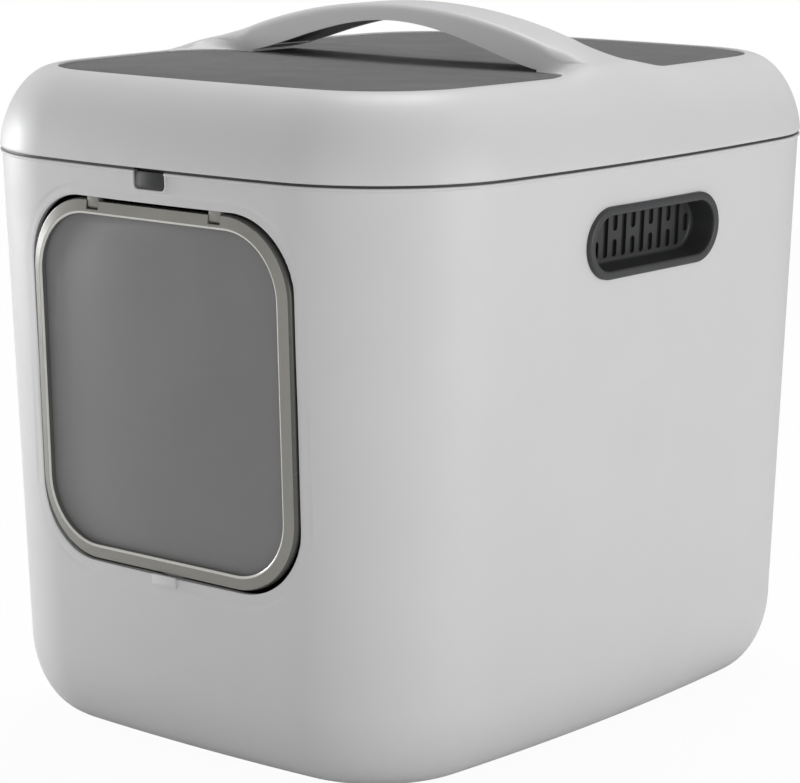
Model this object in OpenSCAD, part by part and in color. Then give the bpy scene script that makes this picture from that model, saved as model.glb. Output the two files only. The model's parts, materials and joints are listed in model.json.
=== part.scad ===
// Litter box with a lift-up carrying lid and a cat flap in its front wall.
// Millimetres, Z up. The front faces -Y and the right side +X.
// The origin lies on the floor under the middle of the whole box, its rear hinges included.

/* [Tub] */
// Width of the box at its rim
body_w = 390; // [350:1:430]
// Length of the box at its rim, front to rear
body_l = 472; // [430:1:520]
// Height of the tub's rim above the floor
rim_h = 362; // [340:1:410]
// Radius of the bow of the front and rear walls
bow_front_r = 1540; // [1100:10:2500]
// Radius of the bow of the side walls
bow_side_r = 1750; // [1200:10:2500]
// Radius of the four upright corners at the rim
corner_r = 100; // [80:1:120]
// Thickness of the tub's walls
tub_t = 3; // [2.6:0.1:3.4]
// How far the front and rear walls lean in for each millimetre down
draft_front = 0.032; // [0.02:0.002:0.04]
// How far the side walls lean in for each millimetre down
draft_side = 0.042; // [0.03:0.002:0.05]
// Height of the rounding between walls and bottom
base_round_h = 54; // [40:1:60]
// Width of the rounding between walls and bottom
base_round_w = 34; // [24:1:44]
// How far the rim bead stands proud of the wall
bead_w = 1.2; // [0.8:0.1:1.6]
// Height of the rim bead
bead_h = 2; // [1.5:0.1:3]

/* [Lid] */
// Height of the lid's dome, from its lower edge to the lip round the mat
lid_h = 49; // [40:1:56]
// Distance in plan from the lid's lower edge to the lip round the mat
lid_inset = 35.3; // [30:0.1:40]
// Wall thickness of the lid
lid_t = 3; // [2.6:0.1:3.4]
// Width of the flat lip round the mat
lip_w = 1.2; // [0.8:0.1:2]
// Depth of the recess that holds the mat
recess_d = 4; // [3.5:0.1:5]
// Thickness of the mat
mat_t = 3; // [2.5:0.1:3.4]
// Gap round the mat's edge
mat_gap = 0.5; // [0.3:0.1:1]

/* [Carrying arch] */
// Height of the arch's crest above the lip
arch_rise = 35.3; // [30:0.1:44]
// Width of the arch, front to rear
arch_w = 40; // [34:1:46]
// Bend radius of the arch's top
arch_bend_r = 383; // [340:1:440]
// Height of the hand gap's crown above the lip
gap_rise = 24.7; // [20:0.1:27]
// Half length of the hand gap
gap_half_l = 117; // [110:1:122]
// How far each foot of the arch flares out along the lip
flare_w = 38; // [28:1:46]
// Rounding of the arch's upper edges
arch_edge_r = 5; // [3:0.5:6]
// Thickness of the dark insert under the arch
liner_t = 4; // [3:0.5:5]
// Width of white edge left on each side of the insert
liner_edge = 3; // [2.5:0.5:4]
// Half length of the insert
liner_half_l = 100; // [80:1:104]

/* [Lid frame and latch] */
// Thickness of the dark frame's edge between tub and lid
frame_t = 1.2; // [1:0.1:1.6]
// How far the frame's edge lies behind the lid's face
frame_setback = 0.8; // [0.4:0.1:1.2]
// Clear gap between the tub's rim and the frame
seam_gap = 0.3; // [0.3:0.05:0.6]
// Depth of the skirt that centres the lid in the tub
skirt_d = 9.5; // [8:0.5:12]
// Thickness of the skirt
skirt_t = 2; // [1.6:0.1:2.4]
// Gap between the skirt and the tub's inner wall
skirt_gap = 1.2; // [0.8:0.1:1.6]
// Width of the latch tab
latch_w = 23; // [18:0.5:28]
// Height of the latch tab below the rim
latch_h = 10.5; // [8:0.5:13]
// Thickness of the latch tab
latch_t = 3; // [2.5:0.1:3.4]
// Gap round the latch tab in its notch
latch_gap = 0.8; // [0.5:0.1:1.2]
// Diameter of the latch's pivot pin
latch_pin_d = 2.4; // [2:0.1:3]

/* [Flap] */
// Width of the flap
flap_w = 209.4; // [190:0.2:216]
// Distance from the seam down to the flap's top edge
flap_top = 21.5; // [21:0.5:30]
// Distance from the seam down to the flap's bottom edge
flap_bottom = 243.5; // [225:0.5:250]
// Corner radius of the flap
flap_r = 47.5; // [36:0.5:54]
// Width of the flap's clear border
flap_border_w = 9; // [6.5:0.1:10]
// Thickness of the flap's border
flap_t = 6; // [5:0.1:7]
// How far the flap's face lies behind the middle of the front wall
flap_setback = 0.9; // [0.5:0.1:1.5]
// Thickness of the smoky panel
window_t = 2.4; // [2:0.1:3]
// Depth of the groove that holds the smoky panel
groove_d = 2.2; // [1.6:0.1:3]
// Gap round the flap in the tub's opening
flap_gap = 1.6; // [1.4:0.1:2]
// Width of the sloped surround beside and above the opening
surround_w = 5.8; // [4:0.1:8]
// Width of the sloped surround below the opening
surround_low_w = 18; // [16:0.5:22]
// Depth of the slope round the opening
surround_d = 1.8; // [1.2:0.1:2]
// Distance of each hinge lug from the middle
lug_x = 49.5; // [40:0.5:56]
// Width of each hinge lug
lug_w = 9; // [7:0.5:11]
// Diameter of the flap's rod
rod_d = 2.4; // [2:0.1:2.6]
// Distance from the flap's top edge down to the rod
rod_drop = 3.3; // [3.1:0.1:3.6]

/* [Flap lock] */
// Width of the lock slider
lock_w = 19.4; // [16:0.1:24]
// Height of the lock slider
lock_h = 6.6; // [6.2:0.1:9]
// Gap between the flap's bottom edge and the slider
lock_gap = 0.5; // [0.5:0.1:1.5]
// Travel of the slider
lock_travel = 3; // [2:0.5:3.5]
// Thickness of the slider's front plate
lock_t = 2; // [1.6:0.1:2.4]

/* [Hand grips] */
// Length of the grip's rim
grip_l = 133; // [115:1:145]
// Height of the grip's rim
grip_h = 43.7; // [40:0.1:48]
// Distance from the seam down to the grip's middle
grip_drop = 46.2; // [42:0.1:56]
// Width of the grip's rim
grip_rim_w = 5.2; // [4:0.1:7]
// How far the grip's rim stands out of the wall
grip_proud = 1.9; // [1.6:0.1:2.5]
// Depth of the grip's cup behind the wall
grip_d = 16; // [12:0.5:20]
// Wall thickness of the grip's cup
grip_t = 1.8; // [1.5:0.1:2.2]
// Number of slot columns in the back wall
slot_count = 13; // [9:2:13]
// Distance from one slot column to the next
slot_pitch = 9.2; // [8:0.1:9.4]
// Width of a slot
slot_w = 4.6; // [3.5:0.1:5.5]
// Height of a long slot
slot_long = 26.6; // [22:0.1:28]
// Height of a short slot
slot_short = 10.8; // [8:0.1:11]
// Thickness of the carbon pad
filter_t = 8; // [6:0.5:10]
// Wall thickness of the filter cover
cover_t = 1.8; // [1.5:0.1:2.2]

/* [Rear hinges] */
// Distance of each lid hinge from the middle
hinge_x = 90; // [70:1:105]
// Diameter of the hinge barrels
barrel_d = 11; // [10:0.5:12]
// Length of the lid's hinge barrel
knuckle_l = 15; // [12:0.5:18]
// Length of each of the bracket's two barrels
ear_l = 8; // [6:0.5:10]
// Diameter of the hinge pin
hinge_pin_d = 4; // [3.5:0.1:4.5]
// Distance from the box's rear face to the hinge axis
hinge_out = 6.5; // [6.2:0.1:7.5]
// Height of the bracket's plate
bracket_h = 30; // [26:1:36]
// Thickness of the bracket's plate and of the lid's hinge leaf
leaf_t = 3; // [2.5:0.1:3.5]
// Height of the lid's hinge leaf
leaf_h = 15; // [13:0.5:17]
// Shank diameter of the hinge screws
screw_d = 3; // [2.6:0.1:3.4]
// Head diameter of the hinge screws
screw_head_d = 6.4; // [5.6:0.1:7]

/* [Feet] */
// Diameter of a rubber foot
foot_d = 24; // [18:1:28]
// Height of the feet below the tub
foot_h = 3; // [2.5:0.1:5]
// Depth of the pocket that holds a foot
foot_pocket = 1; // [0.8:0.1:1.5]
// Distance of the feet from the middle, along X
foot_x = 105; // [90:1:115]
// Distance of the feet from the middle, along Y
foot_y = 145; // [120:1:155]

/* [Hidden] */

// Running clearance round pins and rods, measured on the radius
run_gap = 0.06;
// Gap between fixed neighbours of one assembly
seat_gap = 0.1;
// Gap between bodies that move past each other
move_gap = 0.35;
// Length by which a cutter passes the surface it cuts
over = 1;

half_w = body_w / 2;
half_l = body_l / 2;
seam_z = rim_h + seam_gap + frame_t / 2;
frame_z = rim_h + seam_gap;
lid_z = frame_z + frame_t;
lip_z = lid_z + lid_h;
deck_z = lip_z - recess_d;
tub_floor_z = foot_h;
lean_front = atan(draft_front);
lean_side = atan(draft_side);
lid_power_out = 2 / 1.96;
lid_power_up = 2 / 1.69;

// How far the hinges reach out behind the tub
rear_reach = hinge_out + barrel_d / 2;

// Points on each side arc, corner arc and front arc of a quarter outline
side_n = 3;
corner_n = 10;
front_n = 3;

white = [0.80, 0.80, 0.80];
dark = [0.20, 0.20, 0.21];
mat_grey = [0.36, 0.36, 0.37];
clear_taupe = [0.60, 0.58, 0.55, 0.6];
smoke = [0.35, 0.35, 0.35, 0.6];
steel = [0.70, 0.70, 0.72];
carbon = [0.08, 0.08, 0.08];

// Points of an arc from angle a0 up to, but not with, a1
function arc(c, r, a0, a1, n) =
    [for (i = [0:n - 1]) let (a = a0 + (a1 - a0) * i / n) [c[0] + r * cos(a), c[1] + r * sin(a)]];

// Centre of the corner arc that meets the bowed side and the bowed front smoothly
function corner_centre(hw, hl, rf, rs, rc) =
    let (f = [0, hl - rf], s = [hw - rs, 0], v = s - f, d = norm(v), e = v / d)
    let (a = rf - rc, b = rs - rc, t = (d * d + a * a - b * b) / (2 * d))
    f + e * t + [e[1], -e[0]] * sqrt(a * a - t * t);

// Quarter of the bowed outline, from the +X side round to the +Y side
function quarter(hw, hl, rf, rs, rc) =
    let (c = corner_centre(hw, hl, rf, rs, rc))
    let (a_side = atan2(c[1], c[0] - hw + rs), a_front = atan2(c[1] - hl + rf, c[0]))
    concat(
        arc([hw - rs, 0], rs, 0, a_side, side_n),
        arc(c, rc, a_side, a_front, corner_n),
        arc([0, hl - rf], rf, a_front, 90, front_n)
    );

function reversed(p) = [for (i = [len(p) - 1:-1:0]) p[i]];
function mirror_x(p) = [for (q = reversed(p)) [-q[0], q[1]]];
function tail(p) = [for (i = [1:len(p) - 1]) p[i]];

// Whole outline, drawn in by ex at the sides and by ey at the front and rear
function outline(ex, ey) =
    let (q = quarter(half_w - ex, half_l - ey, bow_front_r - ey, bow_side_r - ex, corner_r - (ex + ey) / 2))
    let (half = concat(q, [[0, half_l - ey]], mirror_x(tail(q)), [[-half_w + ex, 0]]))
    concat(half, [for (i = [1:len(half) - 2]) -half[i]]);

// The same outline at a height, as points in space
function ring(ex, ey, z) = [for (p = outline(ex, ey)) [p[0], p[1], z]];

// Closed solid through a row of rings, with flat ends
module loft(rings) {
    n = len(rings[0]);
    m = len(rings);
    points = [for (r = rings) each r];
    sides = [
        for (k = [0:m - 2]) for (i = [0:n - 1])
            let (a = k * n + i, b = k * n + (i + 1) % n, c = a + n, d = b + n)
                each [[a, d, b], [a, c, d]]
    ];
    first = [for (i = [0:n - 1]) i];
    last = [for (i = [n - 1:-1:0]) (m - 1) * n + i];
    polyhedron(points, concat(sides, [first, last]), convexity = 10);
}

// Closed solid through a loop of rings, open in the middle
module loop(rings) {
    n = len(rings[0]);
    m = len(rings);
    points = [for (r = rings) each r];
    sides = [
        for (k = [0:m - 1]) for (i = [0:n - 1])
            let (k2 = (k + 1) % m)
            let (a = k * n + i, b = k * n + (i + 1) % n, c = k2 * n + i, d = k2 * n + (i + 1) % n)
                each [[a, d, b], [a, c, d]]
    ];
    polyhedron(points, sides, convexity = 10);
}

// Rounded rectangle from (x0, y0) to (x1, y1)
module rounded(x0, y0, x1, y1, r) {
    union() {
        translate([x0 + r, y0]) square([x1 - x0 - 2 * r, y1 - y0]);
        translate([x0, y0 + r]) square([x1 - x0, y1 - y0 - 2 * r]);
        for (x = [x0 + r, x1 - r]) for (y = [y0 + r, y1 - r]) translate([x, y]) circle(r, $fn = 64);
    }
}

// Frames of the walls: the wall's outer face at its middle, leaning with the draft
module front_frame() {
    translate([0, bead_w - half_l, seam_z]) rotate([lean_front, 0, 0]) children();
}
module right_frame() {
    translate([half_w - bead_w, 0, seam_z]) rotate([0, lean_side, 0]) children();
}
module left_frame() {
    mirror([1, 0, 0]) right_frame() children();
}
module rear_frame() {
    translate([0, half_l - bead_w, seam_z]) rotate([-lean_front, 0, 0]) children();
}

// Plate in the front frame, drawn as X and height, from depth y0 to depth y1
module front_plate(y0, y1) {
    translate([0, y1, 0]) rotate([90, 0, 0]) linear_extrude(y1 - y0) children();
}
// Plate in a side frame, drawn as Y and height, from x0 outwards to x1
module side_plate(x0, x1) {
    translate([x0, 0, 0]) rotate([90, 0, 90]) linear_extrude(x1 - x0) children();
}
// Plate drawn as Y and Z in the box's own frame, centred on x
module cross_plate(x, w) {
    translate([x - w / 2, 0, 0]) rotate([90, 0, 90]) linear_extrude(w) children();
}
// Cylinder along X, centred on x, at a place given as Y and Z
module rod_x(x, w, p, r) {
    translate([x - w / 2, p[0], p[1]]) rotate([0, 90, 0]) cylinder(h = w, r = r, $fn = 48);
}

// Draft of the wall at a depth below the seam
function lean_x(d) = bead_w + draft_side * d;
function lean_y(d) = bead_w + draft_front * d;
wall_d = seam_z - tub_floor_z - base_round_h;

// Rings of the rounding between a wall and a floor
function base_rings(extra, z0, w, h, steps) = [
    for (i = [0:steps]) let (a = 90 * i / steps)
        ring(lean_x(wall_d) + extra + w * (1 - sin(a)), lean_y(wall_d) + extra + w * (1 - sin(a)),
            z0 + h * (1 - cos(a)))
];

module tub_shell() {
    bead_z = rim_h - bead_h;
    step_z = bead_z - bead_w / 2;
    outer = concat(
        base_rings(0, tub_floor_z, base_round_w, base_round_h, 7),
        [
            ring(lean_x(seam_z - step_z), lean_y(seam_z - step_z), step_z),
            ring(0, 0, bead_z),
            ring(0, 0, rim_h)
        ]
    );
    inner = concat(
        [ring(lean_x(0) + tub_t, lean_y(0) + tub_t, rim_h)],
        reversed(base_rings(tub_t, tub_floor_z + tub_t, base_round_w - tub_t, base_round_h - tub_t, 7))
    );
    loft(concat(outer, inner));
}

// Edges of the opening in the front wall, as heights in the front frame
open_w = flap_w + 2 * flap_gap;
open_top = -(flap_top - flap_gap);
open_bottom = -(flap_bottom + flap_gap);
open_r = flap_r - 2.5;
// Depth of the collar behind the front wall's face
collar_back = flap_setback + flap_t - seat_gap;
collar_w = 8;

// How far the bowed front wall has drawn back at a distance from its middle
function bow(x) = bow_front_r - sqrt(bow_front_r * bow_front_r - x * x);
// Outline of the opening, widened by g and by g_low below
function opening_outline(g, g_low) =
    let (w = open_w / 2 + g, top = open_top + g, low = open_bottom - g_low, r = open_r + g)
    concat(
        arc([w - r, top - r], r, 0, 90, 9), [[w - r, top]],
        arc([r - w, top - r], r, 90, 180, 9), [[-w, top - r]],
        arc([r - w, low + r], r, 180, 270, 9), [[r - w, low]],
        arc([w - r, low + r], r, 270, 360, 9), [[w, low + r]]
    );
// Ring of the opening's cutter, following the bowed wall at depth d
function bowed_ring(g, g_low, d) = [for (p = opening_outline(g, g_low)) [p[0], bow(p[0]) + d, p[1]]];
function flat_ring(g, g_low, y) = [for (p = opening_outline(g, g_low)) [p[0], y, p[1]]];

collar_step = 3;
module opening_cutter() {
    front_frame()
        loft([
            flat_ring(collar_step, collar_step, collar_back + tub_t),
            bowed_ring(collar_step, collar_step, tub_t + 0.05),
            bowed_ring(0, 0, tub_t),
            bowed_ring(0, 0, surround_d),
            bowed_ring(surround_w, surround_low_w, -0.02),
            flat_ring(surround_w, surround_low_w, -4 * tub_t)
        ]);
}

module collar() {
    front_frame()
        front_plate(tub_t, collar_back)
            rounded(-open_w / 2 - collar_w, open_bottom - collar_w, open_w / 2 + collar_w, open_top + collar_w,
                open_r + collar_w);
}

notch_w = latch_w + 2 * latch_gap;
notch_low = rim_h - latch_h - latch_gap - seam_z;
notch_r = 3;
// Height of the plates that end above the rim
above_rim = rim_h - seam_z;

module notch_bead() {
    front_frame()
        front_plate(-bead_w, tub_t / 2)
            rounded(-notch_w / 2 - bead_h, notch_low - bead_h, notch_w / 2 + bead_h, above_rim, notch_r + bead_h);
}

module notch_cutter() {
    front_frame()
        front_plate(-4 * tub_t, 2 * tub_t)
            rounded(-notch_w / 2, notch_low, notch_w / 2, 2 * notch_r + over, notch_r);
}

// The lock's slot through the slope below the opening
web_w = 9;
web_h = 3;
web_top = -(flap_bottom + lock_gap + lock_h - web_h);
module lock_slot() {
    front_frame()
        translate([-web_w / 2 - move_gap, -over, web_top - web_h - move_gap])
            cube([web_w + 2 * move_gap, collar_back + tub_t, web_h + flap_gap + lock_h]);
}

module stadium(l, h) {
    union() {
        square([l - h, h], center = true);
        for (s = [-1, 1]) translate([s * (l - h) / 2, 0]) circle(d = h, $fn = 96);
    }
}

module grip_hole() {
    right_frame()
        side_plate(-3 * tub_t, 3 * tub_t)
            translate([0, -grip_drop]) stadium(grip_l + 2 * seat_gap, grip_h + 2 * seat_gap);
}

// Rear hinge bracket and its seat
plate_w = knuckle_l + 2 * ear_l;
plate_top = 5.5;
screw_drops = [12.5, 23];
boss_d = 9;
boss_l = 9;
bow_at_hinge = bow_front_r - sqrt(pow(bow_front_r, 2) - pow(hinge_x, 2));
plate_y = -bow_at_hinge;

module bracket_plate(g) {
    rear_frame()
        translate([hinge_x - plate_w / 2 - g, plate_y - g, -plate_top - bracket_h - g])
            cube([plate_w + 2 * g, leaf_t + g, bracket_h + 2 * g]);
}

module bracket_screw_places() {
    rear_frame()
        for (drop = screw_drops)
            translate([hinge_x, plate_y + leaf_t, -plate_top - drop]) rotate([90, 0, 0]) children();
}

module both_sides() {
    for (s = [0, 1]) mirror([s, 0, 0]) children();
}

module foot_places(g) {
    for (x = [-1, 1]) for (y = [-1, 1])
        translate([x * foot_x, y * foot_y, -over]) cylinder(h = foot_h + foot_pocket + over, d = foot_d + g, $fn = 64);
}

module tub() color(white)
    difference() {
        union() {
            tub_shell();
            notch_bead();
            collar();
            both_sides() bracket_screw_places() translate([0, 0, leaf_t + tub_t / 2]) cylinder(h = boss_l, d = boss_d, $fn = 48);
        }
        opening_cutter();
        notch_cutter();
        lock_slot();
        both_sides() grip_hole();
        both_sides() bracket_plate(seat_gap);
        both_sides() bracket_screw_places() cylinder(h = leaf_t + boss_l, d = screw_d + 0.04, $fn = 48);
        foot_places(2 * seat_gap);
    }

// Hand grip: rim, cup and slotted back wall, drawn for the right side
cup_l = grip_l - 2 * grip_rim_w;
cup_h = grip_h - 2 * grip_rim_w;
rim_back = -tub_t - 0.6;

module slot(x, z, h) {
    translate([x, z]) rotate(90) stadium(h, slot_w);
}

module slot_pattern() {
    last = (slot_count - 1) / 2;
    short_z = (slot_long - slot_short) / 2;
    for (i = [-last:last]) {
        if (abs(i) == last) slot(i * slot_pitch, 0, slot_short);
        else if (i % 2 != 0) slot(i * slot_pitch, 0, slot_long);
        else for (s = [-1, 1]) slot(i * slot_pitch, s * short_z, slot_short);
    }
}

module grip_shape()
    difference() {
        union() {
            side_plate(rim_back, grip_proud) stadium(grip_l, grip_h);
            side_plate(-grip_d - grip_t, rim_back) stadium(cup_l + 2 * grip_t, cup_h + 2 * grip_t);
        }
        side_plate(-grip_d, grip_proud + over) stadium(cup_l, cup_h);
        side_plate(-grip_d - grip_t - over, -grip_d + over) slot_pattern();
    }

module at_grip() {
    translate([0, 0, -grip_drop]) children();
}
module grip_right() color(dark) right_frame() at_grip() grip_shape();
module grip_left() color(dark) left_frame() at_grip() grip_shape();

// Carbon pad behind the slots, and the cover that holds it
filter_x = -grip_d - grip_t - seat_gap;
module filter_shape() {
    side_plate(filter_x - filter_t, filter_x) stadium(cup_l - 2 * seat_gap, cup_h - 2 * seat_gap);
}
module filter_right() color(carbon) right_frame() at_grip() filter_shape();
module filter_left() color(carbon) left_frame() at_grip() filter_shape();

module cover_shape() {
    back_x = filter_x - filter_t - seat_gap;
    vent_count = 9;
    vent_l = cup_h * 0.6;
    difference() {
        side_plate(back_x - cover_t, filter_x) stadium(cup_l + 2 * cover_t, cup_h + 2 * cover_t);
        side_plate(back_x, filter_x + over) stadium(cup_l, cup_h);
        side_plate(back_x - cover_t - over, back_x + over)
            for (i = [0:vent_count - 1])
                translate([(i - (vent_count - 1) / 2) * cup_l / (vent_count + 2), 0]) rotate(90) stadium(vent_l, slot_w);
    }
}
module filter_cover_right() color(dark) right_frame() at_grip() cover_shape();
module filter_cover_left() color(dark) left_frame() at_grip() cover_shape();

// Rubber feet
module foot(x, y) color(dark)
    translate([x, y, 0]) union() {
        cylinder(h = foot_h + foot_pocket, d = foot_d, $fn = 64);
    }
module foot_front_left() foot(-foot_x, -foot_y);
module foot_front_right() foot(foot_x, -foot_y);
module foot_rear_left() foot(-foot_x, foot_y);
module foot_rear_right() foot(foot_x, foot_y);

// Flap: everything is drawn in the front frame
rod_z = -(flap_top + rod_drop);
rod_y = flap_setback + flap_t / 2;
lug_r = 2.5;
lug_notch = rod_drop + lug_r + 0.4;
rod_l = 2 * lug_x + lug_w + 16;
bar_drop = 1.3;
edge_step = 0.8;

module flap_outline(g) {
    rounded(-flap_w / 2 + g, -flap_bottom + g, flap_w / 2 - g, -flap_top - g, flap_r - g);
}

module flap_notches() {
    for (s = [-1, 1])
        translate([s * lug_x - lug_w / 2 - move_gap, -over, -flap_top - lug_notch])
            cube([lug_w + 2 * move_gap, 2 * flap_t, lug_notch + over]);
    middle_w = 2 * lug_x;
    translate([-middle_w / 2, -over, -flap_top - bar_drop]) cube([middle_w, 2 * flap_t, bar_drop + over]);
}

window_y = flap_setback + (flap_t - window_t) / 2;
module flap_border() color(clear_taupe)
    front_frame()
        difference() {
            union() {
                front_plate(flap_setback, flap_setback + flap_t) flap_outline(edge_step);
                front_plate(flap_setback + edge_step, flap_setback + flap_t - edge_step) flap_outline(0);
            }
            front_plate(-over, 2 * flap_t) flap_outline(flap_border_w);
            front_plate(window_y - seat_gap, window_y + window_t + seat_gap) flap_outline(flap_border_w - groove_d);
            flap_notches();
            rod_x(0, rod_l + 1, [rod_y, rod_z], rod_d / 2 + run_gap);
        }

module flap_window() color(smoke)
    front_frame()
        difference() {
            front_plate(window_y, window_y + window_t) flap_outline(flap_border_w - groove_d + seat_gap);
            translate([-flap_w / 2, 0, -flap_top - lug_notch - seat_gap]) cube([flap_w, 2 * flap_t, lug_notch]);
        }

module flap_rod() color(steel)
    front_frame() rod_x(0, rod_l, [rod_y, rod_z], rod_d / 2);

// Lug that carries the rod: barrel, neck and a tail behind the collar
module lug(s) color(clear_taupe)
    front_frame() {
        neck_top = open_top - seat_gap;
        tail_y = collar_back + seat_gap;
        tail_t = 2;
        shelf_h = 1.6;
        difference() {
            union() {
                rod_x(s * lug_x, lug_w, [rod_y, rod_z], lug_r);
                translate([s * lug_x - lug_w / 2, rod_y - lug_r, rod_z]) cube([lug_w, 2 * lug_r, neck_top - rod_z]);
                translate([s * lug_x - lug_w / 2, rod_y, neck_top - shelf_h])
                    cube([lug_w, tail_y + tail_t - rod_y, shelf_h]);
                translate([s * lug_x - lug_w / 2, tail_y, neck_top - shelf_h]) cube([lug_w, tail_t, shelf_h + collar_w]);
            }
            rod_x(s * lug_x, lug_w + 2 * over, [rod_y, rod_z], rod_d / 2 + 0.02);
        }
    }
module flap_lug_left() lug(-1);
module flap_lug_right() lug(1);

// Lock slider: a fork that takes in the flap's lower edge from both faces
lock_top = -(flap_bottom + lock_gap);
lock_front = flap_setback - lock_t - 0.5;
lock_back = flap_setback + flap_t + move_gap;
module flap_lock() color(white)
    front_frame() {
        front_plate(lock_front, lock_front + lock_t)
            rounded(-lock_w / 2, lock_top - lock_h, lock_w / 2, lock_top, 1);
        translate([-web_w / 2, lock_front + lock_t, web_top - web_h])
            cube([web_w, lock_back - lock_front - lock_t, web_h]);
        front_plate(lock_back, lock_back + lock_t)
            rounded(-lock_w / 2 + 2, lock_top - lock_h - 2, lock_w / 2 - 2, lock_top, 1);
    }

// Rear hinges of the lid
axis_y = half_l + hinge_out;
barrel_r = barrel_d / 2;
module bracket() color(white)
    difference() {
        union() {
            bracket_plate(0);
            for (s = [-1, 1]) {
                x = hinge_x + s * (knuckle_l + ear_l) / 2;
                rod_x(x, ear_l - 2 * seat_gap, [axis_y, seam_z], barrel_r);
                cross_plate(x, ear_l - 2 * seat_gap)
                    polygon([
                        [half_l - bow_at_hinge, seam_z - bracket_h],
                        [half_l - bow_at_hinge, seam_z - plate_top - 2],
                        [half_l - bead_w, seam_z - plate_top],
                        [axis_y, seam_z],
                        [axis_y + barrel_r, seam_z],
                        [half_l + leaf_t - bead_w, seam_z - bracket_h]
                    ]);
            }
        }
        rod_x(hinge_x, plate_w + over, [axis_y, seam_z], hinge_pin_d / 2 + 0.02);
        bracket_screw_places() translate([0, 0, -over]) cylinder(h = leaf_t + 2 * over, d = screw_d + 2 * seat_gap, $fn = 48);
    }
module tub_hinge_right() bracket();
module tub_hinge_left() mirror([1, 0, 0]) bracket();

module hinge_pin() color(steel)
    rod_x(hinge_x, plate_w - 2 * seat_gap, [axis_y, seam_z], hinge_pin_d / 2);
module hinge_pin_right() hinge_pin();
module hinge_pin_left() mirror([1, 0, 0]) hinge_pin();

head_t = 1.8;
module screw(l) {
    translate([0, 0, -head_t]) cylinder(h = head_t, d = screw_head_d, $fn = 48);
    cylinder(h = l, d = screw_d, $fn = 48);
}
module hinge_screws() color(steel)
    both_sides() bracket_screw_places() screw(leaf_t + boss_l - over);

// Lid profile: distance in plan from the edge, and height above it
function lid_in(a) = lid_inset * (1 - pow(cos(a), lid_power_out));
function lid_up(a) = lid_h * pow(sin(a), lid_power_up);
// Height of the dome at a distance in plan from the edge
function dome(e) =
    e >= lid_inset ? lid_h : let (c = pow(1 - e / lid_inset, 1 / lid_power_out)) lid_h * pow(1 - c * c, lid_power_up / 2);

dome_steps = 9;
module lid_dome() {
    cavity_in = lid_inset + lip_w + 1 - lid_t;
    cavity_h = lid_h - recess_d - lid_t;
    inner = [
        for (i = [dome_steps:-1:0]) let (a = 90 * i / dome_steps)
            let (e = lid_t + cavity_in * (1 - pow(cos(a), lid_power_out)))
                ring(e, e, lid_z + cavity_h * pow(sin(a), lid_power_up))
    ];
    outer = [
        for (i = [0:dome_steps]) let (a = 90 * i / dome_steps) ring(lid_in(a), lid_in(a), lid_z + lid_up(a))
    ];
    e = lid_inset + lip_w;
    loft(concat(inner, outer, [ring(e, e, lip_z), ring(e, e, deck_z)]));
}

// Underside of the arch, as a height over the lip
gap_low = 0.4;
gap_power = 0.633;
function gap_z(x) = lip_z + gap_low + (gap_rise - gap_low) * pow(0.5 + 0.5 * cos(180 * x / gap_half_l), gap_power);

// Top of the arch, which runs out over the shoulder of the lid
foot_end = half_w - 5;
rise_at_foot = arch_rise - arch_bend_r + sqrt(pow(arch_bend_r, 2) - pow(gap_half_l, 2));
function arch_z(x) =
    abs(x) <= gap_half_l
        ? lip_z + arch_rise - arch_bend_r + sqrt(arch_bend_r * arch_bend_r - x * x)
        : lid_z + dome(half_w - abs(x)) + rise_at_foot * pow((foot_end - abs(x)) / (foot_end - gap_half_l), 1.5);

// Half width of the arch or of its flared foot
flare_end = half_w - lid_inset - lip_w / 2;
function foot_half(x) =
    let (t = min(1, max(0, (abs(x) - gap_half_l) / (flare_end - gap_half_l))))
    arch_w / 2 + flare_w * (1 - sqrt(1 - t * t));

// Height of the surface that the foot stands on, and of the foot's hidden underside
function base_z(x) = abs(x) <= gap_half_l ? gap_z(x) : lid_z + dome(half_w - abs(x)) - 0.3;
function under_z(x) =
    abs(x) <= gap_half_l ? gap_z(x)
    : abs(x) < flare_end + lip_w ? deck_z - lid_t / 2
    : lid_z + dome(half_w - abs(x)) - lid_t / 2;

// One side of the arch's cross-section, as distance from its middle and height
function arch_side(x) =
    let (top = arch_z(x), base = base_z(x), w = foot_half(x), n = arch_w / 2)
    let (r = max(0.15, min(arch_edge_r, 0.45 * (top - base))))
    concat(
        [[w, under_z(x)]],
        [for (i = [0:4]) let (s = i / 4) [w + (n - w) * s, base + (top - r - base) * pow(s, 2) + 0.02 * i]],
        [for (i = [1:3]) let (a = 30 * i) [n - r + r * cos(a), top - r + r * sin(a)]]
    );
function arch_section(x) =
    let (p = arch_side(x))
    [for (q = concat(p, [for (i = [len(p) - 1:-1:0]) [-p[i][0], p[i][1]]])) [x, q[0], q[1]]];

arch_stations = [
    for (i = [0:11]) gap_half_l * sin(90 * i / 11) * (i < 11 ? 1 : 0.9999)
];
foot_stations = [
    for (i = [0:7]) gap_half_l + 0.05 + (flare_end - gap_half_l - 0.05) * sin(90 * i / 7)
];
shoulder_stations = [for (i = [1:4]) flare_end + (foot_end - 6 - flare_end) * i / 4];
half_stations = concat(arch_stations, foot_stations, shoulder_stations);

module arch() {
    stations = concat([for (i = [len(half_stations) - 1:-1:1]) -half_stations[i]], half_stations);
    loft([for (x = stations) arch_section(x)]);
}

// Band that follows the underside of the arch
module arch_band(half_len, w, z0, z1) {
    steps = 20;
    loft([
        for (i = [-steps:steps]) let (x = half_len * i / steps, z = gap_z(x))
            [[x, w, z + z0], [x, w, z + z1], [x, -w, z + z1], [x, -w, z + z0]]
    ]);
}
liner_w = arch_w / 2 - liner_edge;
liner_in = 0.6;

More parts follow.
